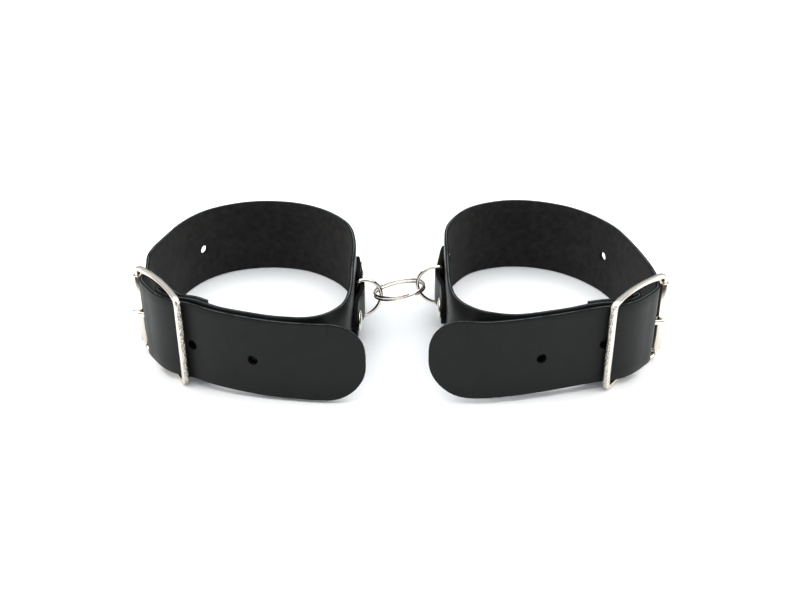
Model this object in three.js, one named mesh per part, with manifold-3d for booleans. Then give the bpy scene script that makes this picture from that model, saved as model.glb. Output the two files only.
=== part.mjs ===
// A pair of buckled leather wrist cuffs, joined by two D-rings and a split ring.
// Millimetres, +Z up. The cuffs stand on their strap edges at z = 0.
import * as THREE from "three";
import { mergeVertices } from "three/addons/utils/BufferGeometryUtils.js";
import Module from "manifold-3d";

// ---------- driving dimensions ----------

const STRAP_WIDTH = 30;
const LEATHER = 1.5; // thickness of the strap and of the tab
const WRIST_WIDTH = 74; // across the opening, between the two long sides of a cuff
const OUTLINE_WIDTH = 74; // the wrist width that the loop outlines below are drawn for
const CUFF_SPACING = 34.8; // between the centrelines of the two inner straps
const GAP = 0.3; // clearance between pieces that only touch

// Buckle: u runs from the roller bar to the near bar, n points out of the cuff.
const BUCKLE_LENGTH = 30.2; // roller bar to near bar, centre to centre
const FRAME_HEIGHT = STRAP_WIDTH + 5;
const FRAME_BAR = 2.5; // width of the upright bars
const FRAME_RAIL = 1.8; // height of the top and bottom rails
const FRAME_DEPTH = 2.2;
const FRAME_CORNER = 2; // radius of the frame's centreline corners
const FRAME_BOW = 1.5; // how far the rails bend in at the centre bar
const CENTRE_BAR = 2.2; // diameter
const CENTRE_AT = 16.8; // from the roller bar
const FRONT_BAR = 1.7; // diameter of the bar inside the roller
const SEAT_END = 0.4; // how far the round bar runs past each end of the roller
const FRAME_SQUARENESS = 4;
const CORNER_STEPS = 4;
const RAIL_STEPS = 6;
const ROLLER = 3.5;
const ROLLER_WALL = 0.45;
const ROLLER_LENGTH = STRAP_WIDTH - 3;
const PRONG_WIDTH = 1.9;
const PRONG_THICK = 1.3;
const PRONG_BEND = [[5.5, -0.9], [3.7, 0.45], [1.9, 2], [0.3, 2.65], [-1.4, 3.05]]; // (u, n) up to its tip
const PRONG_WRAP = 260; // degrees that it goes round the centre bar
const PRONG_PLAY = 0.12; // between the prong's loop and the centre bar
const PRONG_LIFT = 2.5; // degrees that the prong can lift in its hole
const HOLE_DROP = 1.2; // how far the row of holes is below the strap's middle
const PRONG_HEIGHT = FRAME_HEIGHT / 2 - HOLE_DROP;
const BAR_CLEARANCE = 0.55; // between the strap and the bars it passes under
const STRAP_SLANT = 38; // degrees between the strap and the buckle where it passes under a bar
const SHOULDER = 1.1; // how much fuller than an arc the strap is just past the roller
const SHOULDER_AT = 6.5; // its place along the buckle
const SHOULDER_SPREAD = 4;
const OVER_STEPS = 12; // steps of the strap's arc over the buckle

// Strap: the fixed end folds round the centre bar and is riveted to itself.
const FLAP_LENGTH = 24;
const HOLE = 3.4; // diameter
const HOLE_SPACING = 22.9;
const TIP_ROUNDING = 13; // length over which the free end is rounded
const PRONG_SLOT_SIDE = 0.45; // clearance at each side of the prong
const FOLD_GAP = 0.15; // between the flap and the strap that it is riveted to
const FOLD_OPEN = 13; // length over which the flap closes onto the strap
const FOLD_RIVETS_AT = BUCKLE_LENGTH / 2 + 2; // from the fold
const RIVET_ROOM = 10; // length over which the outer run eases off the rivet heads
const RUN_GAP = 0.25; // between the inner and the outer run in the buckle
const RUN_GAP_CHANGE = 20; // length over which that becomes the cuff's frontGap
const RUN_STEP = 5;
const FOLD_STEPS = 9;
const CLIMB = 36; // length over which the strap rises onto the buckle's bottom rail
const CLIMB_BEFORE = 38; // where that starts, before the roller
const TIP_FALL = 40; // length over which the free end comes down again
const FLAT_BY_BAR = 12; // the inner run has come down this long before the D-ring's bar
const PIN_HOLE = 3.4; // holes for the rivets

// Rivets with two caps: the back cap's tube goes through the leather and takes the front cap's post.
const TAB_CAP = 7.6;
const FOLD_CAP = 5.6;
const CAP_DOME = 1.1;
const FOLD_CAP_DOME = 0.7;
const BACK_DOME = 0.5;
const FOLD_BACK_DOME = 0.6;
const CAP_SEAT = 0.24; // clearance between a cap and the leather
const POST_FIT = 0.1; // clearance round the post in the tube
const POST_SHORT = 0.4; // how far the post stops before the back cap
const TUBE_SHORT = 0.5; // how far the tube stops before the head
const TUBE = 2.8;
const POST = 1.8;
const FOLD_RIVET_PITCH = 14; // height between the two fold rivets

// Tab, D-rings and split ring.
const TAB_WIDTH = 12;
const TAB_LENGTH = 48;
const TAB_RIVET_PITCH = 36.5;
const TAB_BULGE = 24; // length of the bulge over the D-ring's bar
const BULGE_TOP = 0.06; // share of the bulge that is level
const D_WIRE = 1.5;
const D_HEIGHT = 14; // inside
const D_REACH = 9.2; // from the bar's centre to the centre of the bow's tip
const D_CORNER = 1.2;
const LINK_WIRE = 1;
const LINK_SIZE = 20; // outside diameter
const LINK_TILT = -14.5; // degrees, about the line between the D-rings
const LINK_ENDS = { left: -0.6, right: 0.3 }; // heights above the middle of the D-rings
const COIL_GAP = 0.2;
const COIL_CROSS = 1.8; // angle, in radians, over which one turn crosses to the other
const COIL_SHORT = 0.12; // angle, in radians, by which each turn stops short
const COIL_STEPS = 72;
const BOW_STEPS = 18;

const WIRE_SIDES = 10;
const CAP_SIDES = 18;
const STATION = 2.4; // spacing of the sections along leather

// Each cuff's centreline in plan, for an OUTLINE_WIDTH opening. The origin is the D-ring's bar
// and x is negative away from the other cuff. The right-hand cuff is mirrored when it is built.
// holeShift is how far the loose holes are from an even spacing with the one that the prong fills.
const CUFFS = {
  left: {
    y: -5,
    loop: [
      [-19, -40.3], [-12.3, -39.6], [-6.3, -36], [-1.9, -29.5], [-0.2, -20.5], [0, 0],
      [-0.2, 19.5], [-3.3, 33], [-12.3, 44.6], [-23.3, 51.3], [-36.3, 53.3], [-49.3, 51],
      [-60, 44.4], [-67.6, 33.4], [-72, 18.5], [-74, 4],
    ],
    buckle: [-75.6, -10.1],
    buckleAngle: -52.8,
    front: [[-46.3, -36.6], [-32.8, -40.6], [-20.8, -42.6], [-7.8, -44], [5.8, -42.9]],
    frontGap: 0.4,
    tipLift: 0.8,
    tabShift: 3.2,
    holeShift: 6.1,
    farHole: [-61.5, 42],
    farDrop: 1.1,
    ringAngle: 22,
  },
  right: {
    y: 5.9,
    loop: [
      [-22, -50.2], [-15.4, -49], [-8.4, -45.6], [-3.8, -40.7], [-1.2, -35.2], [-0.1, -28],
      [0, 0], [-0.6, 17.5], [-3.7, 26.8], [-11, 37], [-20.6, 41.9], [-30.7, 43.3],
      [-40.2, 41.7], [-50, 37], [-58.9, 28.7], [-64.8, 19.6], [-68.2, 9.5], [-71, -9.5],
    ],
    buckle: [-74.9, -26.6],
    buckleAngle: -45.4,
    front: [[-42.5, -48.5], [-32, -51.4], [-20, -53.9], [-7.8, -55.2], [7.8, -51.6]],
    frontGap: 1.2,
    tipLift: 1.9,
    tabShift: 1.2,
    holeShift: 4.1,
    farHole: [-63.6, 23],
    farDrop: -0.4,
    ringAngle: 6,
  },
};

// ---------- plan geometry ----------

const wasm = await Module();
wasm.setup();

const plan = (x, y) => new THREE.Vector2(x, y);
const radians = THREE.MathUtils.degToRad;

function smooth(t) {
  const c = THREE.MathUtils.clamp(t, 0, 1);
  return c * c * (3 - 2 * c);
}

// A line in plan, with the point, direction and left-hand normal at any length along it.
class Track {
  constructor(points) {
    this.points = points;
    this.lengths = [0];
    for (let i = 1; i < points.length; i++) {
      this.lengths.push(this.lengths[i - 1] + points[i].distanceTo(points[i - 1]));
    }
    this.length = this.lengths.at(-1);
  }

  at(s) {
    const clamped = THREE.MathUtils.clamp(s, 0, this.length);
    let i = 1;
    while (i < this.points.length - 1 && this.lengths[i] < clamped) i++;
    const before = this.points[i - 1];
    const along = this.points[i].clone().sub(before).normalize();
    const point = before.clone().addScaledVector(along, s - this.lengths[i - 1]);
    return { point, along, left: plan(-along.y, along.x) };
  }

  // The direction at s, averaged over the bend of a piece this long.
  smoothAt(s, span) {
    const along = this.at(s + span / 2).point.sub(this.at(s - span / 2).point).normalize();
    return { point: this.at(s).point, along, left: plan(-along.y, along.x) };
  }

  nearest(target, from = 0) {
    let best = from;
    let least = Infinity;
    for (let s = from; s <= this.length; s += 0.1) {
      const away = this.at(s).point.distanceTo(target);
      if (away < least) {
        least = away;
        best = s;
      }
    }
    return best;
  }
}

// A smooth line through the points, with stations about this far apart.
function curveThrough(points, step) {
  const flat = points.map((p) => new THREE.Vector3(p.x, p.y, 0));
  const curve = new THREE.CatmullRomCurve3(flat, false, "centripetal");
  const out = [points[0]];
  for (let i = 1; i < points.length; i++) {
    const count = Math.max(1, Math.round(points[i].distanceTo(points[i - 1]) / step));
    for (let k = 1; k <= count; k++) {
      const p = curve.getPoint((i - 1 + k / count) / (points.length - 1));
      out.push(plan(p.x, p.y));
    }
  }
  return out;
}

// Points on the circle through a, b and c, from a to c.
function arcThrough(a, b, c, count) {
  const ab = b.clone().sub(a);
  const ac = c.clone().sub(a);
  const d = 2 * ab.cross(ac);
  const toCentre = plan(
    (ac.y * ab.lengthSq() - ab.y * ac.lengthSq()) / d,
    (ab.x * ac.lengthSq() - ac.x * ab.lengthSq()) / d,
  );
  const centre = a.clone().add(toCentre);
  const start = a.clone().sub(centre);
  const turn = Math.atan2(start.cross(c.clone().sub(centre)), start.dot(c.clone().sub(centre)));
  const points = [];
  for (let i = 0; i <= count; i++) {
    points.push(start.clone().rotateAround(plan(0, 0), (turn * i) / count).add(centre));
  }
  return points;
}

// ---------- solids ----------

// A body with one section per station. Each station has a place and the section's own x and y.
function sweep(stations, closed = false) {
  const sides = stations[0].section.length;
  const rings = stations.length;
  const positions = [];
  for (const { place, x, y, section } of stations) {
    for (const [a, b] of section) {
      const p = place.clone().addScaledVector(x, a).addScaledVector(y, b);
      positions.push(p.x, p.y, p.z);
    }
  }
  const faces = [];
  for (let i = 0; i < (closed ? rings : rings - 1); i++) {
    const next = (i + 1) % rings;
    for (let k = 0; k < sides; k++) {
      const l = (k + 1) % sides;
      faces.push(i * sides + k, i * sides + l, next * sides + l);
      faces.push(i * sides + k, next * sides + l, next * sides + k);
    }
  }
  if (!closed) {
    const last = (rings - 1) * sides;
    for (let k = 1; k < sides - 1; k++) {
      faces.push(0, k + 1, k);
      faces.push(last, last + k, last + k + 1);
    }
  }
  const geometry = new THREE.BufferGeometry();
  geometry.setAttribute("position", new THREE.Float32BufferAttribute(positions, 3));
  geometry.setIndex(faces);
  return geometry;
}

// A section between an ellipse (squareness 2) and a rectangle (high squareness).
function rounded(halfX, halfY, squareness, sides) {
  const section = [];
  for (let k = 0; k < sides; k++) {
    const angle = (2 * Math.PI * (k + 0.5)) / sides;
    const c = Math.cos(angle);
    const s = Math.sin(angle);
    const reach = (Math.abs(c) ** squareness + Math.abs(s) ** squareness) ** (-1 / squareness);
    section.push([halfX * c * reach, halfY * s * reach]);
  }
  return section;
}

const round = (diameter, sides = WIRE_SIDES) => rounded(diameter / 2, diameter / 2, 2, sides);

// Stations along a flat line of points that lies in the plane of along and up.
function wireStations(points, normal, section, closed = false) {
  const count = points.length;
  return points.map((place, i) => {
    const before = points[closed ? (i + count - 1) % count : Math.max(i - 1, 0)];
    const after = points[closed ? (i + 1) % count : Math.min(i + 1, count - 1)];
    const along = after.clone().sub(before).normalize();
    const x = new THREE.Vector3().crossVectors(normal, along).normalize();
    return { place, x, y: new THREE.Vector3().crossVectors(along, x), section };
  });
}

function toManifold(geometry) {
  const bare = geometry.clone();
  bare.deleteAttribute("normal");
  bare.deleteAttribute("uv");
  const merged = mergeVertices(bare, 1e-4);
  return new wasm.Manifold(
    new wasm.Mesh({
      numProp: 3,
      vertProperties: new Float32Array(merged.attributes.position.array),
      triVerts: new Uint32Array(merged.index.array),
    }),
  );
}

function fromManifold(solid) {
  const made = solid.getMesh();
  const geometry = new THREE.BufferGeometry();
  geometry.setAttribute("position", new THREE.BufferAttribute(made.vertProperties, 3));
  geometry.setIndex(new THREE.BufferAttribute(made.triVerts, 1));
  return geometry;
}

function cut(geometry, cutters) {
  let solid = toManifold(geometry);
  for (const cutter of cutters) solid = solid.subtract(toManifold(cutter));
  return fromManifold(solid);
}

const join = (a, b) => fromManifold(toManifold(a).add(toManifold(b)));

function rod(diameter, length, sides = 20) {
  return new THREE.CylinderGeometry(diameter / 2, diameter / 2, length, sides).rotateX(Math.PI / 2);
}

// A prism whose ends are half rounds: length along x, width along y, depth along z.
function oblong(length, width, depth) {
  const shape = new THREE.Shape();
  const half = (length - width) / 2;
  shape.absarc(half, 0, width / 2, -Math.PI / 2, Math.PI / 2);
  shape.absarc(-half, 0, width / 2, Math.PI / 2, (3 * Math.PI) / 2);
  const solid = new THREE.ExtrudeGeometry(shape, { depth, bevelEnabled: false, curveSegments: 8 });
  return solid.translate(0, 0, -depth / 2);
}

// A cutter across leather: its z is the leather's normal and its x runs along the leather.
function across(geometry, spot, height) {
  const basis = new THREE.Matrix4().makeBasis(
    new THREE.Vector3(spot.along.x, spot.along.y, 0),
    new THREE.Vector3(0, 0, 1),
    new THREE.Vector3(spot.along.y, -spot.along.x, 0),
  );
  return geometry.applyMatrix4(basis).translate(spot.point.x, spot.point.y, height);
}

// ---------- the strap ----------

// The frame of a cuff's buckle: (u, n) in plan.
function buckleFrame(cuff, scale) {
  const origin = plan(...cuff.buckle).multiplyScalar(scale);
  const angle = radians(cuff.buckleAngle);
  const u = plan(Math.cos(angle), Math.sin(angle));
  const n = plan(u.y, -u.x);
  return { u, n, at: (a, b) => origin.clone().addScaledVector(u, a).addScaledVector(n, b) };
}

const underBar = (bar) => -(bar / 2 + BAR_CLEARANCE + LEATHER / 2) / Math.cos(radians(STRAP_SLANT));
const FOLD_RADIUS = CENTRE_BAR / 2 + 0.2 + LEATHER / 2;
const OVER_CENTRE = -FRAME_BOW + FOLD_RADIUS + LEATHER + 0.25;

// The run of the strap that is seen from outside: under the roller, over the fold, under the near bar.
function outerPoints(cuff, frame, scale) {
  const arc = arcThrough(
    plan(0, underBar(ROLLER)),
    plan(CENTRE_AT, OVER_CENTRE),
    plan(BUCKLE_LENGTH, underBar(FRAME_DEPTH)),
    OVER_STEPS,
  ).map(({ x, y }) => {
    const fuller = SHOULDER * Math.exp(-(((x - SHOULDER_AT) / SHOULDER_SPREAD) ** 2));
    return frame.at(x, y + fuller);
  });
  const front = cuff.front.map(([x, y]) => plan(x, y).multiplyScalar(scale));
  return [...arc, ...front];
}

// The whole strap: flap, fold, inner run, loop, outer run. Also the lengths at its landmarks.
function strapLine(cuff, frame, scale) {
  const outer = outerPoints(cuff, frame, scale);
  const outerTrack = new Track(curveThrough(outer, 0.5));
  const centreAt = outerTrack.nearest(frame.at(CENTRE_AT, OVER_CENTRE));
  const loop = cuff.loop.map(([x, y]) => plan(x, y).multiplyScalar(scale));
  const leaves = outerTrack.nearest(loop[0]) - 6;

  // Inside the outer run, the inner run leaves room for the rivet heads just past the near bar.
  const rivetAt = centreAt + FOLD_RIVETS_AT;
  const headRoom = FOLD_CAP_DOME + 2 * GAP;
  const inner = [];
  const flap = [];
  const steps = Math.round((leaves - centreAt) / RUN_STEP);
  for (let i = 0; i <= steps; i++) {
    const s = centreAt + ((leaves - centreAt) * i) / steps;
    const bump = Math.exp(-(((s - rivetAt) / RIVET_ROOM) ** 2));
    const rest = RUN_GAP + (cuff.frontGap - RUN_GAP) * smooth((s - rivetAt) / RUN_GAP_CHANGE);
    const gap = rest + Math.max(0, headRoom - rest) * bump;
    const { point, left } = outerTrack.at(s);
    inner.push(point.clone().addScaledVector(left, LEATHER + gap));
    if (s - centreAt > FLAP_LENGTH) continue;
    const spread = (2 * FOLD_RADIUS - LEATHER - FOLD_GAP) * (1 - smooth((s - centreAt) / FOLD_OPEN));
    flap.unshift(point.clone().addScaledVector(left, 2 * LEATHER + gap + FOLD_GAP + spread));
  }
  const centre = frame.at(CENTRE_AT, -FRAME_BOW);
  const fold = [];
  for (let i = 1; i < FOLD_STEPS; i++) {
    const turn = (Math.PI * i) / FOLD_STEPS;
    const away = -FOLD_RADIUS * Math.cos(turn);
    fold.push(
      centre.clone().addScaledVector(frame.u, -FOLD_RADIUS * Math.sin(turn)).addScaledVector(frame.n, away),
    );
  }
  const line = new Track(curveThrough([...flap, ...fold, ...inner, ...loop, ...outer], STATION));
  const half = line.length / 2;
  const rivetSpot = outerTrack.at(rivetAt);
  const rivets = line.nearest(shifted(rivetSpot, -(LEATHER + headRoom)).point, 0);
  const bar = line.nearest(plan(0, 0));
  const marks = {
    line,
    centre,
    rivets,
    bar,
    roller: line.nearest(outer[0], half),
    near: line.nearest(outer[OVER_STEPS], half),
  };
  marks.slot = prongSlot(line, frame, marks.roller, line.nearest(frame.at(CENTRE_AT, OVER_CENTRE), half));
  marks.foldRivets = [-1, 1].map((side) => ({
    spot: line.smoothAt(rivets, 3),
    height: middleAt(rivets, marks, cuff) + (side * FOLD_RIVET_PITCH) / 2,
  }));
  marks.tabRivets = [-1, 1].map((side) => ({
    spot: line.smoothAt(bar + cuff.tabShift + (side * TAB_RIVET_PITCH) / 2, 4),
    height: STRAP_WIDTH / 2,
  }));
  return marks;
}

// The stretch of the outer run that the prong passes through, at rest and lifted.
function prongSlot(line, frame, from, to) {
  const reach = LEATHER / 2 + PRONG_THICK / 2 + GAP;
  const shanks = [0, PRONG_LIFT].map((lift) => {
    const points = prongLine(lift).filter((p) => p.x < SHOULDER_AT);
    return new Track(points.map((p) => frame.at(p.x, p.y)));
  });
  const touched = [];
  for (let s = from; s < to; s += 0.2) {
    const { point } = line.at(s);
    for (const shank of shanks) {
      if (shank.at(shank.nearest(point)).point.distanceTo(point) < reach) touched.push(s);
    }
  }
  return { from: touched[0], to: touched.at(-1) };
}

// The height of the strap's middle.
const middleAt = (s, marks, cuff) => liftAt(s, marks, cuff) + STRAP_WIDTH / 2;

// The strap is lifted onto the buckle's bottom rail and rests on its own edge elsewhere.
function liftAt(s, marks, cuff) {
  const onRail = (FRAME_HEIGHT - STRAP_WIDTH) / 2;
  const down = marks.bar - marks.rivets - FLAT_BY_BAR;
  if (s < marks.bar) return onRail * (1 - smooth((s - marks.rivets) / down));
  if (s < marks.near) return onRail * smooth((s - marks.roller + CLIMB_BEFORE) / CLIMB);
  return cuff.tipLift + (onRail - cuff.tipLift) * (1 - smooth((s - marks.near) / TIP_FALL));
}

// ---------- leather ----------

// Where the free end has been threaded to: the hole that takes the prong, and the others.
function holeLengths(cuff, marks, scale) {
  const used = (marks.slot.from + marks.slot.to) / 2 + cuff.holeShift;
  return [
    used + 2 * HOLE_SPACING,
    used + HOLE_SPACING,
    used - HOLE_SPACING,
    marks.line.nearest(plan(...cuff.farHole).multiplyScalar(scale), marks.bar),
  ];
}

// A leather strip stands on edge: its section is LEATHER thick and this high at each station.
function leatherStation(spot, z, half) {
  return {
    place: new THREE.Vector3(spot.point.x, spot.point.y, z),
    x: new THREE.Vector3(spot.left.x, spot.left.y, 0),
    y: new THREE.Vector3(0, 0, 1),
    section: [[-LEATHER / 2, -half], [LEATHER / 2, -half], [LEATHER / 2, half], [-LEATHER / 2, half]],
  };
}

// Half the height of a strip whose end is rounded over this length.
function roundedHalf(full, toEnd, rounding) {
  if (toEnd >= rounding) return full;
  const t = Math.min(1 - toEnd / rounding, 0.996);
  return full * (1 - t ** 2.2) ** (1 / 2.2);
}

function makeStrap(cuff, marks, scale) {
  const { line } = marks;
  const lengths = line.lengths.filter((s) => s < line.length - TIP_ROUNDING - 0.5);
  for (let i = 0; i <= 9; i++) {
    lengths.push(line.length - TIP_ROUNDING * (1 - Math.sin((i / 9) * (Math.PI / 2))));
  }
  const stations = lengths.map((s) => {
    const half = roundedHalf(STRAP_WIDTH / 2, line.length - s, TIP_ROUNDING);
    const inner = s > 1 && s < line.length - 1;
    return leatherStation(inner ? line.smoothAt(s, 1) : line.at(s), middleAt(s, marks, cuff), half);
  });
  const cutters = [];
  for (const s of holeLengths(cuff, marks, scale)) {
    const height = middleAt(s, marks, cuff) - (s > marks.near ? HOLE_DROP : cuff.farDrop);
    cutters.push(across(rod(HOLE, LEATHER + GAP), line.smoothAt(s, 2), height));
  }
  const slotLength = marks.slot.to - marks.slot.from;
  const slotWidth = PRONG_WIDTH + 2 * PRONG_SLOT_SIDE;
  const slotAt = line.smoothAt((marks.slot.from + marks.slot.to) / 2, slotLength);
  cutters.push(across(oblong(slotLength, slotWidth, 4 * LEATHER), slotAt, PRONG_HEIGHT));
  const foldSlot = rod(2 * (FOLD_RADIUS + LEATHER / 2 + 0.12), slotWidth, 28);
  cutters.push(foldSlot.translate(marks.centre.x, marks.centre.y, PRONG_HEIGHT));
  for (const { spot, height } of marks.foldRivets) {
    cutters.push(across(rod(PIN_HOLE, 5 * LEATHER - 1), shifted(spot, -LEATHER), height));
  }
  for (const { spot, height } of marks.tabRivets) {
    cutters.push(across(rod(PIN_HOLE, 2 * LEATHER), spot, height));
  }
  return cut(sweep(stations), cutters);
}

// The same spot moved along its outward normal.
function shifted(spot, away) {
  return { ...spot, point: spot.point.clone().addScaledVector(spot.left, -away) };
}

// How far the tab's centreline stands off the strap's: it bulges over the D-ring's bar.
function tabStandOff(fromBar) {
  const bulge = D_WIRE + 2 * GAP - GAP / 2;
  const t = THREE.MathUtils.clamp(Math.abs(fromBar) / (TAB_BULGE / 2), 0, 1);
  return LEATHER + GAP / 2 + bulge * (1 - smooth((t - BULGE_TOP) / (1 - BULGE_TOP)));
}

function makeTab(cuff, marks) {
  const middle = marks.bar + cuff.tabShift;
  const lengths = [];
  const ends = 6;
  for (let i = 0; i <= ends; i++) {
    lengths.push(-TAB_LENGTH / 2 + (TAB_WIDTH / 2) * (1 - Math.cos((i / ends) * (Math.PI / 2))));
  }
  const body = TAB_LENGTH - TAB_WIDTH;
  const steps = Math.round(body / 1.6);
  for (let i = 1; i < steps; i++) lengths.push(-body / 2 + (body * i) / steps);
  for (let i = ends; i >= 0; i--) lengths.push(-lengths[i]);
  const reach = TAB_RIVET_PITCH / 2;
  const stations = lengths.map((s) => {
    // Past its rivets the tab runs straight on instead of following the strap.
    const held = THREE.MathUtils.clamp(s, -reach, reach);
    const spot = marks.line.smoothAt(middle + held, 4);
    spot.point.addScaledVector(spot.along, s - held);
    const half = roundedHalf(TAB_WIDTH / 2, TAB_LENGTH / 2 - Math.abs(s), TAB_WIDTH / 2);
    return leatherStation(shifted(spot, tabStandOff(s + cuff.tabShift)), STRAP_WIDTH / 2, half);
  });
  const cutters = marks.tabRivets.map(({ spot, height }) =>
    across(rod(PIN_HOLE, 2 * LEATHER), shifted(spot, LEATHER + GAP / 2), height),
  );
  return cut(sweep(stations), cutters);
}

// ---------- rivets ----------

const lathe = (profile, sides = CAP_SIDES) => {
  const points = profile.map(([r, z]) => plan(r, z));
  return new THREE.LatheGeometry(points, sides).rotateX(Math.PI / 2);
};

// A domed head on a solid post. z = 0 is the head's seat and the post points to -z.
function rivetHead(diameter, dome, postLength) {
  const r = diameter / 2;
  const profile = [
    [0, -postLength], [POST / 2, -postLength], [POST / 2, 0], [r, 0], [r, dome * 0.3],
    [r * 0.86, dome * 0.68], [r * 0.5, dome * 0.94], [0, dome],
  ];
  return lathe(profile);
}

// A low cap with a tube that takes the post. z = 0 is its seat and the tube points to +z.
function rivetBack(diameter, dome, tubeLength) {
  const r = diameter / 2;
  const bore = POST / 2 + POST_FIT;
  const profile = [
    [0, -dome], [r * 0.7, -dome], [r, -dome * 0.4], [r, 0], [TUBE / 2, 0], [TUBE / 2, tubeLength],
    [bore, tubeLength], [bore, POST_FIT], [0, POST_FIT],
  ];
  return lathe(profile);
}

// Head and back cap of a rivet through leather, outer face to inner face this far apart.
function rivetPair(spot, height, diameter, dome, backDome, outer, inner) {
  const grip = outer - inner + 2 * CAP_SEAT;
  const head = rivetHead(diameter, dome, grip - POST_SHORT);
  const back = rivetBack(diameter, backDome, grip - TUBE_SHORT);
  return [
    across(head, shifted(spot, outer + CAP_SEAT), height),
    across(back, shifted(spot, inner - CAP_SEAT), height),
  ];
}

// ---------- buckle ----------

// From plan (u, n) and a height to the cuff's space.
const raised = (point, z) => new THREE.Vector3(point.x, point.y, z);

const bowAt = (u) => -FRAME_BOW * Math.sin(Math.PI * THREE.MathUtils.clamp(u / BUCKLE_LENGTH, 0, 1));

// The frame's centreline and section: a bowed rectangle whose roller side is a round bar.
function makeFrame(frame) {
  const low = FRAME_RAIL / 2;
  const high = FRAME_HEIGHT - FRAME_RAIL / 2;
  const path = [];
  const corner = (u, z, from) => {
    for (let i = 0; i <= CORNER_STEPS; i++) {
      const angle = radians(from + (90 * i) / CORNER_STEPS);
      path.push([u + FRAME_CORNER * Math.cos(angle), z + FRAME_CORNER * Math.sin(angle)]);
    }
  };
  const rail = (z, from, to) => {
    for (let i = 1; i < RAIL_STEPS; i++) path.push([from + ((to - from) * i) / RAIL_STEPS, z]);
  };
  const near = BUCKLE_LENGTH - FRAME_CORNER;
  corner(near, low + FRAME_CORNER, -90);
  corner(near, high - FRAME_CORNER, 0);
  rail(high, near, FRAME_CORNER);
  corner(FRAME_CORNER, high - FRAME_CORNER, 90);
  const rollerEnd = (FRAME_HEIGHT - ROLLER_LENGTH) / 2;
  path.push([0, FRAME_HEIGHT - rollerEnd + SEAT_END], [0, rollerEnd - SEAT_END]);
  corner(FRAME_CORNER, low + FRAME_CORNER, 180);
  rail(low, FRAME_CORNER, near);
  const points = path.map(([u, z]) => raised(frame.at(u, bowAt(u)), z));
  const stations = wireStations(points, raised(frame.n, 0), null, true);
  stations.forEach((station, i) => {
    const [u, z] = path[i];
    const towardsNear = smooth((2 * (u - near)) / FRAME_CORNER - 1);
    // The section is square round the corners and becomes the round bar just before the roller.
    const pastCorner = Math.min(z, FRAME_HEIGHT - z) - low - FRAME_CORNER;
    const towardsRoller = u < GAP ? smooth(pastCorner / (rollerEnd - SEAT_END - low - FRAME_CORNER)) : 0;
    const width = THREE.MathUtils.lerp(FRAME_RAIL, FRAME_BAR, towardsNear);
    const halfX = THREE.MathUtils.lerp(width, FRONT_BAR, towardsRoller) / 2;
    const halfY = THREE.MathUtils.lerp(FRAME_DEPTH, FRONT_BAR, towardsRoller) / 2;
    const squareness = THREE.MathUtils.lerp(FRAME_SQUARENESS, 2, towardsRoller);
    station.section = rounded(halfX, halfY, squareness, 12);
  });
  const bar = rod(CENTRE_BAR, high - low, 16);
  const foot = frame.at(CENTRE_AT, -FRAME_BOW);
  return join(sweep(stations, true), bar.translate(foot.x, foot.y, FRAME_HEIGHT / 2));
}

function makeRoller(frame) {
  const outer = ROLLER / 2;
  const inner = outer - ROLLER_WALL;
  const half = ROLLER_LENGTH / 2;
  const profile = [[inner, half], [inner, -half], [outer, -half], [outer, half], [inner, half]];
  const foot = frame.at(0, 0);
  return lathe(profile, 24).translate(foot.x, foot.y, FRAME_HEIGHT / 2);
}

// The prong's centreline, in (u, n): round the centre bar, under the strap, then up through its
// hole and over the roller.
function prongLine(lift = 0) {
  const centre = plan(CENTRE_AT, -FRAME_BOW);
  const radius = CENTRE_BAR / 2 + PRONG_PLAY + PRONG_THICK / 2;
  const bend = PRONG_BEND.map(([u, n]) => plan(u, n));
  const toBend = bend[0].clone().sub(centre);
  const tangent = toBend.angle() - Math.acos(radius / toBend.length());
  const wrap = [];
  const turns = 12;
  for (let i = 0; i <= turns; i++) {
    const angle = tangent - (radians(PRONG_WRAP) * (turns - i)) / turns;
    wrap.push(plan(radius * Math.cos(angle), radius * Math.sin(angle)).add(centre));
  }
  const start = wrap.at(-1);
  const shank = curveThrough([start, start.clone().lerp(bend[0], 0.6), ...bend], 0.7).slice(1);
  return [...wrap, ...shank].map((p) => p.rotateAround(centre, -radians(lift)));
}

function makeProng(frame) {
  const line = prongLine();
  const points = line.map((p) => raised(frame.at(p.x, p.y), PRONG_HEIGHT));
  const section = rounded(PRONG_THICK / 2, PRONG_WIDTH / 2, 3, 10);
  const stations = wireStations(points, new THREE.Vector3(0, 0, 1), section);
  stations.at(-1).section = rounded(PRONG_THICK * 0.22, PRONG_WIDTH * 0.22, 3, 10);
  stations.at(-2).section = rounded(PRONG_THICK * 0.42, PRONG_WIDTH * 0.42, 3, 10);
  return sweep(stations);
}

// ---------- rings ----------

const BAR_OFF = LEATHER / 2 + GAP + D_WIRE / 2; // D-ring bar's centre from the strap's centreline

function makeDRing(cuff) {
  const top = (D_HEIGHT + D_WIRE) / 2;
  const outline = [];
  const corner = (z, from) => {
    for (let i = 0; i <= 3; i++) {
      const angle = radians(from - 30 * i);
      outline.push([D_CORNER + D_CORNER * Math.cos(angle), z + D_CORNER * Math.sin(angle)]);
    }
  };
  corner(top - D_CORNER, 180);
  for (let i = 1; i < BOW_STEPS; i++) {
    const angle = Math.PI / 2 - (Math.PI * i) / BOW_STEPS;
    outline.push([D_CORNER + (D_REACH - D_CORNER) * Math.cos(angle), top * Math.sin(angle)]);
  }
  corner(-top + D_CORNER, -90);
  const angle = radians(cuff.ringAngle);
  const out = new THREE.Vector3(Math.cos(angle), Math.sin(angle), 0);
  const foot = new THREE.Vector3(BAR_OFF, 0, STRAP_WIDTH / 2);
  const points = outline.map(([r, z]) => foot.clone().addScaledVector(out, r).setZ(foot.z + z));
  const normal = new THREE.Vector3(-out.y, out.x, 0);
  return sweep(wireStations(points, normal, round(D_WIRE), true), true);
}

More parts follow.
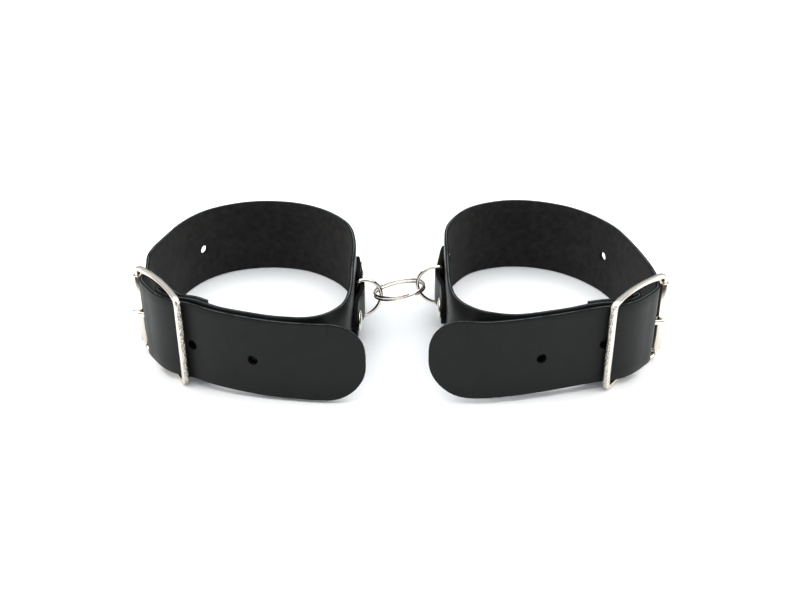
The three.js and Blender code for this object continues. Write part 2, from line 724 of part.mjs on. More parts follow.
// The tip of a D-ring's bow, in the pair's space.
function ringTip(side) {
  const cuff = CUFFS[side];
  const angle = radians(cuff.ringAngle);
  const x = -CUFF_SPACING / 2 + BAR_OFF + D_REACH * Math.cos(angle);
  const y = cuff.y + D_REACH * Math.sin(angle);
  return new THREE.Vector3(side === "right" ? -x : x, y, STRAP_WIDTH / 2 + LINK_ENDS[side]);
}

// Two turns of wire whose ends stop side by side.
function makeLink() {
  const from = ringTip("left");
  const to = ringTip("right");
  const centre = from.clone().lerp(to, 0.5);
  const long = to.clone().sub(from).normalize();
  const wide = new THREE.Vector3(-long.y, long.x, 0).normalize();
  wide.applyAxisAngle(long, radians(LINK_TILT));
  const axis = new THREE.Vector3().crossVectors(long, wide);
  const radius = (LINK_SIZE - LINK_WIRE) / 2;
  const pitch = LINK_WIRE + COIL_GAP;
  const points = [];
  for (let i = 0; i <= COIL_STEPS; i++) {
    const turn = ((2 * i) / COIL_STEPS - 1) * (2 * Math.PI - COIL_SHORT);
    // Each turn is flat for most of its length and crosses over near the ring's front.
    const rise = THREE.MathUtils.clamp(turn / COIL_CROSS, -0.5, 0.5);
    const angle = turn - Math.PI / 2;
    points.push(
      centre.clone()
        .addScaledVector(long, radius * Math.cos(angle))
        .addScaledVector(wide, radius * Math.sin(angle))
        .addScaledVector(axis, rise * pitch),
    );
  }
  return sweep(wireStations(points, axis, round(LINK_WIRE, 8)));
}

// ---------- materials ----------

const finish = (color, roughness, metalness) =>
  () => new THREE.MeshStandardMaterial({ color, roughness, metalness });
const blackLeather = finish("#232424", 0.55, 0);
const nickel = finish("#cfc9bd", 0.22, 1);

// ---------- assembly ----------

const scale = WRIST_WIDTH / OUTLINE_WIDTH;
const group = new THREE.Group();
group.name = "leather_wrist_cuffs";

function add(name, geometry, material) {
  const mesh = new THREE.Mesh(geometry, material());
  mesh.name = name;
  group.add(mesh);
}

function mirrored(geometry) {
  const flipped = geometry.index ? geometry : mergeVertices(geometry);
  flipped.scale(-1, 1, 1);
  const index = flipped.index.array;
  for (let i = 0; i < index.length; i += 3) {
    [index[i], index[i + 1]] = [index[i + 1], index[i]];
  }
  return flipped;
}

function addCuff(side) {
  const cuff = CUFFS[side];
  const frame = buckleFrame(cuff, scale);
  const marks = strapLine(cuff, frame, scale);
  const put = (name, geometry, material) => {
    geometry.translate(-CUFF_SPACING / 2, cuff.y, 0);
    add(name + "_" + side, side === "right" ? mirrored(geometry) : geometry, material);
  };
  put("strap", makeStrap(cuff, marks, scale), blackLeather);
  put("tab", makeTab(cuff, marks), blackLeather);
  marks.tabRivets.forEach(({ spot, height }, i) => {
    const [head, back] = rivetPair(
      spot, height, TAB_CAP, CAP_DOME, BACK_DOME, 1.5 * LEATHER + GAP / 2, -LEATHER / 2,
    );
    put("tab_rivet_head_" + (i + 1), head, nickel);
    put("tab_rivet_back_" + (i + 1), back, nickel);
  });
  marks.foldRivets.forEach(({ spot, height }, i) => {
    const [head, back] = rivetPair(
      spot, height, FOLD_CAP, FOLD_CAP_DOME, FOLD_BACK_DOME, LEATHER / 2, -1.5 * LEATHER - FOLD_GAP,
    );
    put("fold_rivet_head_" + (i + 1), head, nickel);
    put("fold_rivet_back_" + (i + 1), back, nickel);
  });
  put("buckle_frame", makeFrame(frame), nickel);
  put("roller", makeRoller(frame), nickel);
  put("prong", makeProng(frame), nickel);
  put("d_ring", makeDRing(cuff), nickel);
}

addCuff("left");
addCuff("right");
add("link_ring", makeLink(), nickel);

// The origin is the middle of the footprint, on the surface that the cuffs stand on.
const box = new THREE.Box3().setFromObject(group);
const middle = box.getCenter(new THREE.Vector3());
for (const mesh of group.children) mesh.geometry.translate(-middle.x, -middle.y, -box.min.z);

export default group;
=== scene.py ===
"""A pair of black leather wrist cuffs with nickel roller buckles, joined by D-rings and a split ring."""

import bisect
import math

import bmesh
import bpy
from mathutils import Matrix, Vector, noise


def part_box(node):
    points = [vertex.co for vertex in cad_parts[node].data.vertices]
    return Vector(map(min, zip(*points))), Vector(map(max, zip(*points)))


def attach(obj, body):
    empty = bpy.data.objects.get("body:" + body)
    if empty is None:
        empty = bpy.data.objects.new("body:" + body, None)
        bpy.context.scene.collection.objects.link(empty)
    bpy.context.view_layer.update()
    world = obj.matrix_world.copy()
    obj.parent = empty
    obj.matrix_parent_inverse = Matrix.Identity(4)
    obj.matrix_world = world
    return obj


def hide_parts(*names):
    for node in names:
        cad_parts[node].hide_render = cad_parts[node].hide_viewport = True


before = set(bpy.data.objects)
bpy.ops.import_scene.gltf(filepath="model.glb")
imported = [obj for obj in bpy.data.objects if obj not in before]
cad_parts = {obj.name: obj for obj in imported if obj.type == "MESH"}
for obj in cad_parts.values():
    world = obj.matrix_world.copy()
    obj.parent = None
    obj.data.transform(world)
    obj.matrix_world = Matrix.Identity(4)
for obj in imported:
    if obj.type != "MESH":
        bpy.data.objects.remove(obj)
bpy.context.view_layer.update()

MM = 0.001
SIDES = ("left", "right")
UP = Vector((0, 0, 1))

# The leather.
LEATHER = 1.5 * MM  # thickness
STRAP_WIDTH = 30 * MM
TAB_WIDTH = 12 * MM
TIP_RADIUS = 13 * MM
EDGE_ROUNDING = 0.22 * MM
COLUMN = 1.0 * MM  # spacing of the crosswise cuts that let the leather bend
FINE_COLUMN = 0.45 * MM  # the same where it folds round the buckle's bar
TIGHT_TURN = math.radians(25)  # a bend this tight over two columns takes the finer spacing
ROWS = 6  # strips that the lengthwise cuts make
HOLE_SIDES = 28
TIP_SEGMENTS = 10
ROUNDED_SEGMENTS = 2
WALL_MARGIN = 1 * MM  # faces further in than this from the outline belong to holes
FACING = 0.6  # a face whose normal leans this far towards a direction counts as facing it

# The unevenness of cut and handled leather: waves in the edge, and changes of thickness.
EDGE_WAVE = 0.18 * MM
WAVES_PER_METRE = 55
THICKNESS_CHANGE = 0.05
THICKNESS_PER_METRE = (160, 90)  # along and across the leather

# Finding a piece's edges and holes in its CAD mesh.
WELD = 2e-6
LEVEL = 1e-6
SHARP = 1  # radians between the faces at a sharp edge
ON_LINE = 0.05 * MM
HOLE_MARGIN = 3 * MM  # holes are at least this far from the strip's long edges
BETWEEN_HOLES = 9 * MM
LARGEST_HOLE = 5 * MM
# Material slots of a leather piece: finished side, rough side, cut edge, and the walls of its holes.
HAIR, FLESH, CUT, HOLE_WALL = 0, 1, 2, 3

# The buckle's roller.
ROLLER = 3.5 * MM
ROLLER_WALL = 0.45 * MM
ROLLER_SEAM = 7  # degrees left open where the rolled tube's edges meet
ROLLER_CHAMFER = 0.12 * MM
ROLLER_STEPS = 56
NEAR_BAR = 3 * MM  # how much of the buckle's length its near bar takes up

# How far each bar or wire piece's skin is moved out before subdivision pulls it in.
CAST_GROWTH = 0.05 * MM
D_RING_GROWTH = -0.03 * MM
LINK_GROWTH = -0.02 * MM
SUBDIVISIONS = 2

TAB_ROUNDING = TAB_WIDTH / 2 - 0.02 * MM
CUFF_SEEDS = 20.0  # apart, so that the cuffs differ
TAB_SEED = 10
FLOOR_SIZE = 6
FLOOR_LEVEL = -0.2 * MM


# ---------- reading the CAD nodes ----------

def merged(node):
    """A joined-up copy of a CAD node's loose triangles."""
    bm = bmesh.new()
    bm.from_mesh(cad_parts[node].data)
    bmesh.ops.remove_doubles(bm, verts=bm.verts[:], dist=WELD)
    return bm


def corners_of(node):
    return [v.co.copy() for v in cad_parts[node].data.vertices]


def centre_of(node):
    low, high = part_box(node)
    return (low + high) / 2


class Edge:
    """The bottom edge of a leather piece's finished side, from one end to the other."""

    def __init__(self, points, keep_from, keep_to):
        self.points = points
        self.lengths = [0.0]
        for a, b in zip(points, points[1:]):
            self.lengths.append(self.lengths[-1] + (b - a).xy.length)
        self.length = self.lengths[-1]
        self.level_from, self.level_to = keep_from, self.length - keep_to

    def slope(self, i):
        before, after = max(i - 1, 0), min(i + 1, len(self.points) - 1)
        return (self.points[after] - self.points[before]) / (self.lengths[after] - self.lengths[before])

    def at(self, s):
        """The point and the direction at a length s, on a smooth line through the points."""
        i = min(max(bisect.bisect_right(self.lengths, s) - 1, 0), len(self.points) - 2)
        span = self.lengths[i + 1] - self.lengths[i]
        t = min(max((s - self.lengths[i]) / span, 0), 1)
        a, b = self.points[i], self.points[i + 1]
        slope_a, slope_b = self.slope(i) * span, self.slope(i + 1) * span
        point = (
            a * (1 + 2 * t) * (1 - t) ** 2 + slope_a * t * (1 - t) ** 2
            + b * t * t * (3 - 2 * t) - slope_b * t * t * (1 - t)
        )
        along = (
            (b - a) * 6 * t * (1 - t)
            + slope_a * (1 - 4 * t + 3 * t * t) + slope_b * (3 * t * t - 2 * t)
        )
        along.z = 0
        along.normalize()
        return point + along * (s - self.lengths[i] - span * t), along

    def level(self, s):
        """The height of the leather's bottom edge, without the rounding of its ends."""
        return self.at(min(max(s, self.level_from), self.level_to))[0].z

    def nearest(self, place):
        """The length at which the line passes closest to a place, and the distance."""
        best = min(
            range(len(self.points) - 1), key=lambda i: self.gap(i, place)[0]
        )
        gap, t = self.gap(best, place)
        return self.lengths[best] + t * (self.lengths[best + 1] - self.lengths[best]), gap

    def gap(self, i, place):
        a, b = self.points[i].xy, self.points[i + 1].xy
        t = min(max((place.xy - a).dot(b - a) / max((b - a).length_squared, 1e-12), 0), 1)
        return (a.lerp(b, t) - place.xy).length, t


def finished_edge(node, round_from, round_to):
    """Follows the sharp edges of a CAD leather piece to its finished side's bottom edge."""
    bm = merged(node)
    sharp = {e for e in bm.edges if e.calc_face_angle(0) > SHARP}
    square = {v for v in bm.verts if sum(e in sharp for e in v.link_edges) == 3}
    upright = {e for e in sharp if (e.verts[0].co - e.verts[1].co).xy.length < LEVEL}
    lengthwise = {e for e in sharp - upright if not square.issuperset(e.verts)}
    lines = []
    for start in bm.verts:
        ways = [e for e in start.link_edges if e in lengthwise]
        if len(ways) != 1:
            continue
        line, vert = [start.co.copy()], start
        while ways:
            vert = ways[0].other_vert(vert)
            line.append(vert.co.copy())
            ways = [e for e in vert.link_edges if e in lengthwise and e is not ways[0]]
        lines.append(line)
    bm.free()
    middle = centre_of(node.replace("tab", "strap"))
    lowest = sorted(lines, key=lambda line: sum(p.z for p in line) / len(line))[:4]
    outermost = max(lowest, key=lambda line: sum((p - middle).xy.length for p in line) / len(line))
    if (outermost[0] - outermost[-1]).z > 0 and round_to > round_from:
        outermost.reverse()
    return Edge(outermost, round_from, round_to)


def punched(node, edge, width):
    """The holes of a CAD leather piece, as (start, end, height) along its finished side."""
    inside = []
    for place in corners_of(node):
        s, away = edge.nearest(place)
        h = place.z - edge.level(s)
        if away < ON_LINE and HOLE_MARGIN < h < width - HOLE_MARGIN:
            inside.append((s, h))
    inside.sort()
    groups = [[inside[0]]]
    for spot in inside[1:]:
        if spot[0] - groups[-1][-1][0] > BETWEEN_HOLES:
            groups.append([])
        groups[-1].append(spot)
    holes = []
    for group in groups:
        low, high = min(h for s, h in group), max(h for s, h in group)
        if high - low < LARGEST_HOLE:
            holes.append((group[0][0], group[-1][0], (low + high) / 2, high - low))
    return holes


# ---------- leather ----------

def outline(bm, length, width, round_from, round_to):
    """A flat strip's outline: x along it, y across it."""
    ends = [(0, 0), (length, 0), (length, width), (0, width)]
    face = bm.faces.new([bm.verts.new((x, y, 0)) for x, y in ends])
    for x, radius in ((0, round_from), (length, round_to)):
        if radius:
            verts = [v for v in bm.verts if abs(v.co.x - x) < 1e-6]
            bmesh.ops.bevel(
                bm, geom=verts, offset=radius, offset_type="OFFSET", segments=TIP_SEGMENTS,
                profile=0.5, affect="VERTICES", material=-1,
            )
    bmesh.ops.remove_doubles(bm, verts=bm.verts[:], dist=1e-5)
    bmesh.ops.delete(bm, geom=bm.faces[:], context="FACES_ONLY")


def hole_outline(bm, start, end, height, size):
    """A round hole, or a slot with round ends."""
    place = Matrix.Translation(((start + end) / 2, height, 0))
    circle = bmesh.ops.create_circle(bm, segments=HOLE_SIDES, radius=size / 2, matrix=place)["verts"]
    reach = max((end - start - size) / 2, 0)
    for vert in circle:
        vert.co.x += math.copysign(reach, vert.co.x - place.translation.x)


def flat_leather(edge, width, round_from, round_to, holes):
    """A flat strip with its holes, a rounded cut edge and crosswise cuts, ready to bend."""
    bm = bmesh.new()
    outline(bm, edge.length, width, round_from, round_to)
    for hole in holes:
        hole_outline(bm, *hole)
    bmesh.ops.triangle_fill(bm, edges=bm.edges[:], use_beauty=True, normal=(0, 0, 1))
    sheet = bm.faces[:]
    grown = bmesh.ops.extrude_face_region(bm, geom=sheet, use_keep_orig=True)["geom"]
    bmesh.ops.translate(
        bm, verts=[v for v in grown if isinstance(v, bmesh.types.BMVert)], vec=(0, 0, -LEATHER)
    )
    bmesh.ops.recalc_face_normals(bm, faces=bm.faces[:])
    rims = [
        e for e in bm.edges
        if e.calc_face_angle(0) > SHARP and abs(e.verts[0].co.z - e.verts[1].co.z) < LEVEL
    ]
    bmesh.ops.bevel(
        bm, geom=rims, offset=EDGE_ROUNDING, offset_type="OFFSET", segments=ROUNDED_SEGMENTS,
        profile=0.5, affect="EDGES", material=-1,
    )
    for face in bm.faces:
        x, y, _ = face.calc_center_median()
        along = round_from + WALL_MARGIN < x < edge.length - round_to - WALL_MARGIN
        side = HOLE_WALL if along and WALL_MARGIN < y < width - WALL_MARGIN else CUT
        up = face.normal.z
        face.material_index = HAIR if up > FACING else FLESH if up < -FACING else side
        face.smooth = True
    s = COLUMN
    while s < edge.length:
        cut_across(bm, (s, 0, 0), (1, 0, 0))
        turn = edge.at(s - COLUMN)[1].angle(edge.at(s + COLUMN)[1])
        s += FINE_COLUMN if turn > TIGHT_TURN else COLUMN
    for i in range(1, ROWS):
        cut_across(bm, (0, width * i / ROWS, 0), (0, 1, 0))
    return bm


def cut_across(bm, place, normal):
    everything = bm.verts[:] + bm.edges[:] + bm.faces[:]
    bmesh.ops.bisect_plane(bm, geom=everything, dist=1e-7, plane_co=place, plane_no=normal)


def bend(bm, edge, width, seed):
    """Bends the flat strip along its line, with the small unevenness of cut and handled leather."""
    flat = bm.verts.layers.float_vector.new("flat")
    lengthwise, crosswise = THICKNESS_PER_METRE
    for vert in bm.verts:
        s, h, depth = vert.co
        vert[flat] = vert.co
        place, along = edge.at(s)
        out = Vector((along.y, -along.x, 0)) * edge.turn
        wave = noise.noise(Vector((s * WAVES_PER_METRE, 0, seed))) * EDGE_WAVE
        swell = noise.noise(Vector((s * lengthwise, h * crosswise, seed + 3)))
        thick = 1 + THICKNESS_CHANGE * swell
        z = edge.level(s) + h + wave * h / width
        vert.co = Vector((place.x, place.y, z)) + out * depth * thick


def leather_piece(name, node, width, round_from, round_to, seed, cut):
    edge = finished_edge(node, round_from, round_to)
    middle = centre_of(node.replace("tab", "strap"))
    place, along = edge.at(edge.length / 2)
    out = Vector((along.y, -along.x, 0))
    edge.turn = math.copysign(1, out.dot(place - middle))
    bm = flat_leather(edge, width, round_from, round_to, punched(node, edge, width))
    bend(bm, edge, width, seed)
    if edge.turn < 0:
        bmesh.ops.reverse_faces(bm, faces=bm.faces[:])
    kinds = ("grain", "flesh", cut, "dyed edge")
    piece = finished(name, bm, [MATERIALS[kind] for kind in kinds])
    return piece, edge


# ---------- pieces ----------

def finished(name, bm, materials):
    mesh = bpy.data.meshes.new(name)
    bm.to_mesh(mesh)
    bm.free()
    for material in materials:
        mesh.materials.append(material)
    piece = bpy.data.objects.new(name, mesh)
    bpy.context.scene.collection.objects.link(piece)
    return piece


def stands_for(piece, body, slot, *nodes):
    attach(piece, body)
    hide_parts(*nodes)
    return piece


def turned(bm, profile, steps=48, angle=2 * math.pi):
    """Spins a profile of (radius, height) round Z."""
    verts = [bm.verts.new((r, 0, z)) for r, z in profile]
    edges = [bm.edges.new(pair) for pair in zip(verts, verts[1:])]
    closed = abs(angle - 2 * math.pi) < 1e-6
    bmesh.ops.spin(
        bm, geom=verts + edges, cent=(0, 0, 0), axis=(0, 0, 1), angle=angle, steps=steps,
        use_merge=closed, use_duplicate=False,
    )
    bmesh.ops.remove_doubles(bm, verts=bm.verts[:], dist=1e-6)
    bmesh.ops.recalc_face_normals(bm, faces=bm.faces[:])
    for face in bm.faces:
        face.smooth = True


def rivet_cap(name, node, out, body):
    """A domed cap with a rolled rim, and its stem."""
    places = corners_of(node)
    sideways = [p - out * p.dot(out) for p in places]
    middle = sum(sideways, Vector()) / len(sideways)
    seat_levels = [p.dot(out) for p, q in zip(places, sideways) if (q - middle).length > 0]
    top, foot = max(seat_levels), min(seat_levels)
    radius = max((q - middle).length for q in sideways)
    brim = [p.dot(out) for p, q in zip(places, sideways) if (q - middle).length > 0.9 * radius]
    dome, seat = top - min(brim), min(brim)
    stem = 0.33 * radius
    profile = [
        (0, foot - seat), (stem, foot - seat), (stem, 0), (radius * 0.9, 0),
        (radius, dome * 0.16), (radius, dome * 0.34), (radius * 0.95, dome * 0.47),
        (radius * 0.84, dome * 0.66), (radius * 0.62, dome * 0.86), (radius * 0.34, dome * 0.97), (0, dome),
    ]
    bm = bmesh.new()
    turned(bm, profile)
    turn = UP.rotation_difference(out).to_matrix().to_4x4()
    bmesh.ops.transform(
        bm, matrix=Matrix.Translation(middle + out * seat) @ turn, verts=bm.verts[:]
    )
    return stands_for(finished(name, bm, [MATERIALS["nickel"]]), body, "nickel", node)


def smoothed_copy(name, node, body, grow, pitted=lambda place, normal: False):
    """A round-bar piece: the CAD node's faces as quads, subdivided."""
    bm = merged(node)
    bmesh.ops.join_triangles(
        bm, faces=bm.faces[:], angle_face_threshold=math.radians(50),
        angle_shape_threshold=math.radians(70),
    )
    bmesh.ops.recalc_face_normals(bm, faces=bm.faces[:])
    bm.normal_update()
    moves = [(v, v.normal * grow) for v in bm.verts]
    for vert, move in moves:
        vert.co += move
    bm.normal_update()
    for face in bm.faces:
        face.smooth = True
        face.material_index = int(pitted(face.calc_center_median(), face.normal))
    piece = finished(name, bm, [MATERIALS["nickel"], MATERIALS["pitted nickel"]])
    subdivision = piece.modifiers.new("rounding", "SUBSURF")
    subdivision.levels = subdivision.render_levels = SUBDIVISIONS
    return stands_for(piece, body, "nickel", node)


def make_roller(name, node, body, towards_strap):
    """A rolled tube whose edges meet along a fine open seam, facing the strap."""
    low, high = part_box(node)
    middle = (low + high) / 2
    half = (high.z - low.z) / 2
    outer, inner = ROLLER / 2, ROLLER / 2 - ROLLER_WALL
    edge = outer - ROLLER_CHAMFER
    end = half - ROLLER_CHAMFER
    profile = [
        (inner, -half), (edge, -half), (outer, -end), (outer, end), (edge, half), (inner, half),
        (inner, -half),
    ]
    bm = bmesh.new()
    open_by = math.radians(ROLLER_SEAM)
    turned(bm, profile, steps=ROLLER_STEPS, angle=2 * math.pi - open_by)
    ends = [e for e in bm.edges if e.is_boundary]
    bmesh.ops.holes_fill(bm, edges=ends, sides=0)
    bmesh.ops.recalc_face_normals(bm, faces=bm.faces[:])
    start = math.atan2(towards_strap.y, towards_strap.x) + open_by / 2
    bmesh.ops.transform(
        bm, matrix=Matrix.Translation(middle) @ Matrix.Rotation(start, 4, "Z"), verts=bm.verts[:]
    )
    return stands_for(finished(name, bm, [MATERIALS["nickel"]]), body, "nickel", node)


# ---------- materials ----------

def linear(hex_colour):
    """An sRGB hex colour as linear RGBA."""
    parts = [int(hex_colour[i:i + 2], 16) / 255 for i in (1, 3, 5)]
    return [c / 12.92 if c <= 0.04045 else ((c + 0.055) / 1.055) ** 2.4 for c in parts] + [1]


def node(tree, kind, settings=None, **links):
    """Adds a node, with its settings, and its inputs as values or as another node's output."""
    made = tree.nodes.new(kind)
    for key, value in (settings or {}).items():
        setattr(made, key, value)
    for key, value in links.items():
        socket = made.inputs[int(key[1:]) if key[0] == "_" else key.replace("_", " ")]
        if isinstance(value, bpy.types.NodeSocket):
            tree.links.new(value, socket)
        else:
            socket.default_value = value
    return made


def new_material(name, colour, roughness, metallic=0.0, specular=0.5):
    material = bpy.data.materials.new(name)
    material.use_nodes = True
    shader = material.node_tree.nodes["Principled BSDF"]
    shader.inputs["Base Color"].default_value = linear(colour)
    shader.inputs["Roughness"].default_value = roughness
    shader.inputs["Metallic"].default_value = metallic
    shader.inputs["Specular IOR Level"].default_value = specular
    material.diffuse_color = linear(colour)
    return material, material.node_tree, shader


def ramp(tree, value, stops):
    made = node(tree, "ShaderNodeValToRGB", Fac=value)
    elements = made.color_ramp.elements
    for element, (at, colour) in zip(elements, stops):
        element.position, element.color = at, linear(colour)
    for at, colour in stops[2:]:
        elements.new(at).color = linear(colour)
    return made.outputs["Color"]


def spread(tree, value, low, high):
    """A value from 0 to 1 as one from low to high."""
    made = node(tree, "ShaderNodeMapRange", None, Value=value, To_Min=low, To_Max=high)
    return made.outputs["Result"]


def bump(tree, shader, height, distance, strength=1.0, before=None):
    links = {"Height": height, "Distance": distance, "Strength": strength}
    if before:
        links["Normal"] = before
    made = node(tree, "ShaderNodeBump", None, **links)
    tree.links.new(made.outputs["Normal"], shader.inputs["Normal"])
    return made.outputs["Normal"]


def leather_place(tree):
    """A place in the flat leather, in metres, so that a pattern follows the bends."""
    return node(tree, "ShaderNodeAttribute", {"attribute_name": "flat"}).outputs["Vector"]


def grain_leather():
    """Black corrected-grain cowhide: a smooth pigmented finish, with a faint pressed pore grain."""
    material, tree, shader = new_material("black grain leather", "#0e0f0f", 0.42, specular=0.17)
    place = leather_place(tree)
    # Grain cells are about 0.5 mm across, and the low swells of the hide about 9 mm.
    cells = node(tree, "ShaderNodeTexVoronoi", {"feature": "SMOOTH_F1"}, Vector=place, Scale=1900.0)
    pores = node(tree, "ShaderNodeTexNoise", None, Vector=place, Scale=3600.0, Detail=3.0)
    swells = node(tree, "ShaderNodeTexNoise", None, Vector=place, Scale=110.0, Detail=2.0)
    first = bump(tree, shader, swells.outputs["Fac"], 0.35 * MM, 0.35)
    second = bump(tree, shader, cells.outputs["Distance"], 0.03 * MM, 0.25, first)
    bump(tree, shader, pores.outputs["Fac"], 0.02 * MM, 0.4, second)
    tree.links.new(
        ramp(tree, swells.outputs["Fac"], [(0.3, "#0c0d0d"), (0.7, "#121313")]),
        shader.inputs["Base Color"],
    )
    tree.links.new(spread(tree, swells.outputs["Fac"], 0.36, 0.5), shader.inputs["Roughness"])
    return material


def flesh_leather():
    """The back of the hide, dyed black: a short matt nap with a fine, slightly woven-looking texture."""
    material, tree, shader = new_material("black flesh side", "#1c1c1c", 0.95, specular=0.12)
    shader.inputs["Sheen Weight"].default_value = 0.03
    shader.inputs["Sheen Roughness"].default_value = 0.6
    place = leather_place(tree)
    # Fibre tufts are about 0.4 mm, and the dye varies over about 3 mm.
    tufts = node(tree, "ShaderNodeTexNoise", None, Vector=place, Scale=2600.0, Detail=4.0, Roughness=0.7)
    dye = node(tree, "ShaderNodeTexNoise", None, Vector=place, Scale=380.0, Detail=3.0)
    bump(tree, shader, tufts.outputs["Fac"], 0.16 * MM, 1.0)
    mixed = node(
        tree, "ShaderNodeMath", {"operation": "MULTIPLY"}, _0=tufts.outputs["Fac"], _1=dye.outputs["Fac"]
    )
    tree.links.new(
        ramp(tree, mixed.outputs[0], [(0.14, "#171717"), (0.4, "#262626")]), shader.inputs["Base Color"]
    )
    return material


def cut_leather(name, dyed):
    """The raw cut edge: black dye soaks in from both faces and leaves a thin fuzzy grey-blue core.
    The edges of the tab and of the punched holes are dyed through."""
    material, tree, shader = new_material(name, "#101111", 0.9, specular=0.08)
    place = leather_place(tree)
    # Fibre streaks are about 1.2 mm long and 0.25 mm thick, and worn patches are about 6 mm long.
    stretched = node(tree, "ShaderNodeMapping", None, Vector=place, Scale=(0.35, 0.35, 1.6))
    streaks = node(
        tree, "ShaderNodeTexNoise", None, Vector=stretched.outputs["Vector"], Scale=2400.0, Detail=4.0
    ).outputs["Fac"]
    bump(tree, shader, streaks, 0.15 * MM, 0.9)
    if dyed:
        return material
    patches = node(tree, "ShaderNodeTexNoise", None, Vector=place, Scale=160.0, Detail=2.0).outputs["Fac"]
    depth = node(tree, "ShaderNodeSeparateXYZ", None, Vector=place).outputs["Z"]
    off = node(tree, "ShaderNodeMath", {"operation": "ADD"}, _0=depth, _1=LEATHER * 0.5).outputs[0]
    away = node(tree, "ShaderNodeMath", {"operation": "ABSOLUTE"}, _0=off).outputs[0]
    core = node(
        tree, "ShaderNodeMapRange", {"interpolation_type": "SMOOTHSTEP"}, Value=away,
        From_Min=0.5 * MM, From_Max=0.1 * MM,
    ).outputs["Result"]
    rough = node(tree, "ShaderNodeMath", {"operation": "ADD"}, _0=streaks, _1=patches).outputs[0]
    bare = node(tree, "ShaderNodeMath", {"operation": "MULTIPLY"}, _0=core, _1=rough).outputs[0]
    tree.links.new(
        ramp(tree, bare, [(0.45, "#0f1010"), (0.8, "#1b1e1f"), (1.0, "#42494b")]),
        shader.inputs["Base Color"],
    )
    return material


def nickel_plate(name, pitted):
    """Bright nickel plate over a die casting: warm white, with slight waviness. The trimmed outer
    sides of the casting keep small pits."""
    material, tree, shader = new_material(name, "#e4ddd2", 0.14, metallic=1.0)
    place = node(tree, "ShaderNodeTexCoord").outputs["Object"]
    # The plating's waves are about 2 mm long, and polishing marks are under 0.2 mm.
    waves = node(tree, "ShaderNodeTexNoise", None, Vector=place, Scale=420.0, Detail=2.0)
    marks = node(tree, "ShaderNodeTexNoise", None, Vector=place, Scale=5200.0, Detail=2.0)
    first = bump(tree, shader, waves.outputs["Fac"], 0.03 * MM, 0.3)
    tree.links.new(spread(tree, marks.outputs["Fac"], 0.1, 0.22), shader.inputs["Roughness"])
    if pitted:
        # Pits are about 0.4 mm across.
        pits = node(tree, "ShaderNodeTexVoronoi", None, Vector=place, Scale=2300.0)
        deep = node(tree, "ShaderNodeTexNoise", None, Vector=place, Scale=1500.0, Detail=3.0)
        second = bump(tree, shader, deep.outputs["Fac"], 0.35 * MM, 1.0, first)
        bump(tree, shader, pits.outputs["Distance"], 0.12 * MM, 0.8, second)
        tree.links.new(
            ramp(tree, deep.outputs["Fac"], [(0.38, "#8f8a84"), (0.56, "#d6cfc6")]),
            shader.inputs["Base Color"],
        )
    return material


def floor_paint():
    """Matt white background board."""
    material, tree, shader = new_material("white board", "#f1f4f6", 0.7, specular=0.2)
    place = node(tree, "ShaderNodeTexCoord").outputs["Object"]
    tooth = node(tree, "ShaderNodeTexNoise", None, Vector=place, Scale=900.0, Detail=2.0)
    bump(tree, shader, tooth.outputs["Fac"], 0.02 * MM, 0.1)
    return material


MATERIALS = {
    "grain": grain_leather(),
    "flesh": flesh_leather(),
    "cut edge": cut_leather("cut leather edge", False),
    "dyed edge": cut_leather("dyed leather edge", True),
    "nickel": nickel_plate("nickel plate", False),
    "pitted nickel": nickel_plate("pitted nickel plate", True),
    "board": floor_paint(),
}


# ---------- the cuffs ----------

def make_cuff(side, seed):
    body = "cuff_" + side
    buckle = "buckle_" + side
    strap, strap_edge = leather_piece(
        "leather_strap_" + side, "strap_" + side, STRAP_WIDTH, 0, TIP_RADIUS, seed, "cut edge"
    )
    stands_for(strap, body, "leather", "strap_" + side)
    tab, _ = leather_piece(
        "leather_tab_" + side, "tab_" + side, TAB_WIDTH, TAB_ROUNDING, TAB_ROUNDING,
        seed + TAB_SEED, "dyed edge",
    )
    stands_for(tab, body, "leather", "tab_" + side)
    for kind in ("tab", "fold"):
        for i in "12":
            for part, sign in (("head", 1), ("back", -1)):
                cad = f"{kind}_rivet_{part}_{i}_{side}"
                s, _ = strap_edge.nearest(centre_of(cad))
                _, along = strap_edge.at(s)
                out = Vector((along.y, -along.x, 0)) * strap_edge.turn * sign
                rivet_cap(f"{kind}_cap_{part}_{i}_{side}", cad, out, body)
    roller_at = centre_of("roller_" + side)
    farthest = max(corners_of("buckle_frame_" + side), key=lambda p: (p - roller_at).xy.length)
    reach = (farthest - roller_at).xy.length
    lengthwise = ((farthest - roller_at) * Vector((1, 1, 0))).normalized()

    def near_side(place, normal):
        at_bar = (place - roller_at).dot(lengthwise) > reach - NEAR_BAR
        return at_bar and normal.dot(lengthwise) > FACING

    smoothed_copy("frame_" + side, "buckle_frame_" + side, buckle, CAST_GROWTH, near_side)
    smoothed_copy("prong_bar_" + side, "prong_" + side, "prong_" + side, CAST_GROWTH)
    smoothed_copy("d_ring_wire_" + side, "d_ring_" + side, "d_ring_" + side, D_RING_GROWTH)
    towards = centre_of("strap_" + side) - roller_at
    make_roller("roller_tube_" + side, "roller_" + side, "roller_" + side, towards)


for seed, side in enumerate(SIDES):
    make_cuff(side, CUFF_SEEDS * seed)
smoothed_copy("split_ring", "link_ring", "link_ring", LINK_GROWTH)


# ---------- stage ----------

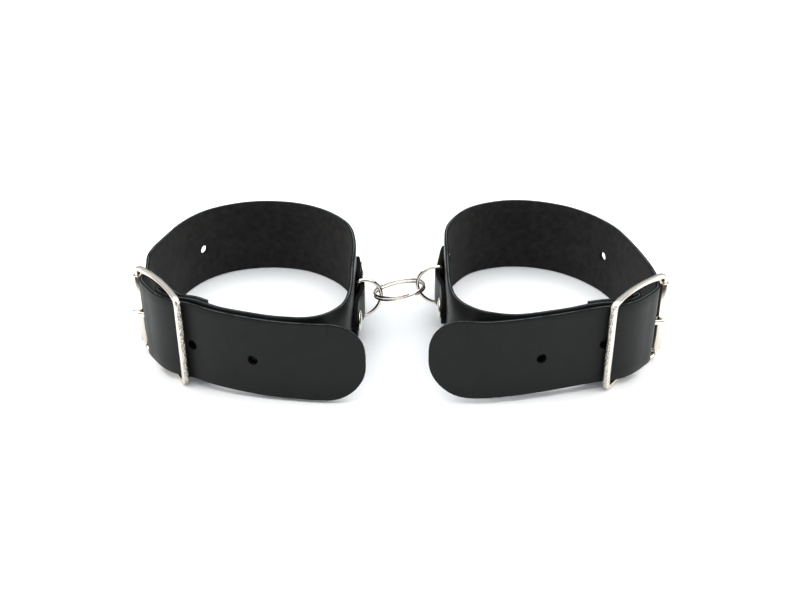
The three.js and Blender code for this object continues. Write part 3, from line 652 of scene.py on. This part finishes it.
def area_light(name, place, target, size, watts, colour="#ffffff"):
    light = bpy.data.lights.new(name, "AREA")
    light.shape = "RECTANGLE"
    light.size, light.size_y = size
    light.energy = watts
    light.color = linear(colour)[:3]
    lamp = bpy.data.objects.new(name, light)
    lamp.location = place
    lamp.rotation_euler = (Vector(target) - Vector(place)).to_track_quat("-Z", "Y").to_euler()
    bpy.context.scene.collection.objects.link(lamp)


def make_floor():
    bm = bmesh.new()
    bmesh.ops.create_grid(bm, x_segments=1, y_segments=1, size=FLOOR_SIZE)
    floor = finished("floor", bm, [MATERIALS["board"]])
    floor.location.z = FLOOR_LEVEL


def make_world():
    world = bpy.data.worlds.new("studio")
    bpy.context.scene.world = world
    world.use_nodes = True
    tree = world.node_tree
    way = node(tree, "ShaderNodeTexCoord").outputs["Generated"]
    height = node(tree, "ShaderNodeSeparateXYZ", None, Vector=way).outputs["Z"]
    # Pale at the horizon, a dark band of room that the metal reflects, then the bright ceiling.
    sky = ramp(tree, height, [
        (0.0, "#dfe3e6"), (0.06, "#c9cdd0"), (0.13, "#242526"), (0.24, "#3a3c3e"), (0.36, "#d3dae0"),
        (0.7, "#ffffff"),
    ])
    background = tree.nodes["Background"]
    tree.links.new(sky, background.inputs["Color"])
    background.inputs["Strength"].default_value = 0.9


def make_camera():
    camera = bpy.data.objects.new("camera", bpy.data.cameras.new("camera"))
    camera.data.lens = 50
    camera.data.sensor_width = 36
    camera.data.clip_start = 0.01
    camera.location = (0.00033, -0.3605, 0.220)
    target = Vector((0.00033, 0.02056, 0))
    camera.rotation_euler = (target - camera.location).to_track_quat("-Z", "Y").to_euler()
    bpy.context.scene.collection.objects.link(camera)
    bpy.context.scene.camera = camera


make_floor()
make_world()
make_camera()
area_light("overhead softbox", (0, 0.15, 1.0), (0, 0, 0), (1.4, 1.0), 13)
area_light("left softbox", (-0.9, -0.1, 0.45), (0, 0, 0.02), (0.5, 0.8), 5, "#fff8ef")
area_light("right softbox", (0.9, -0.1, 0.45), (0, 0, 0.02), (0.5, 0.8), 5, "#fff8ef")
bpy.context.scene.view_settings.view_transform = "Standard"
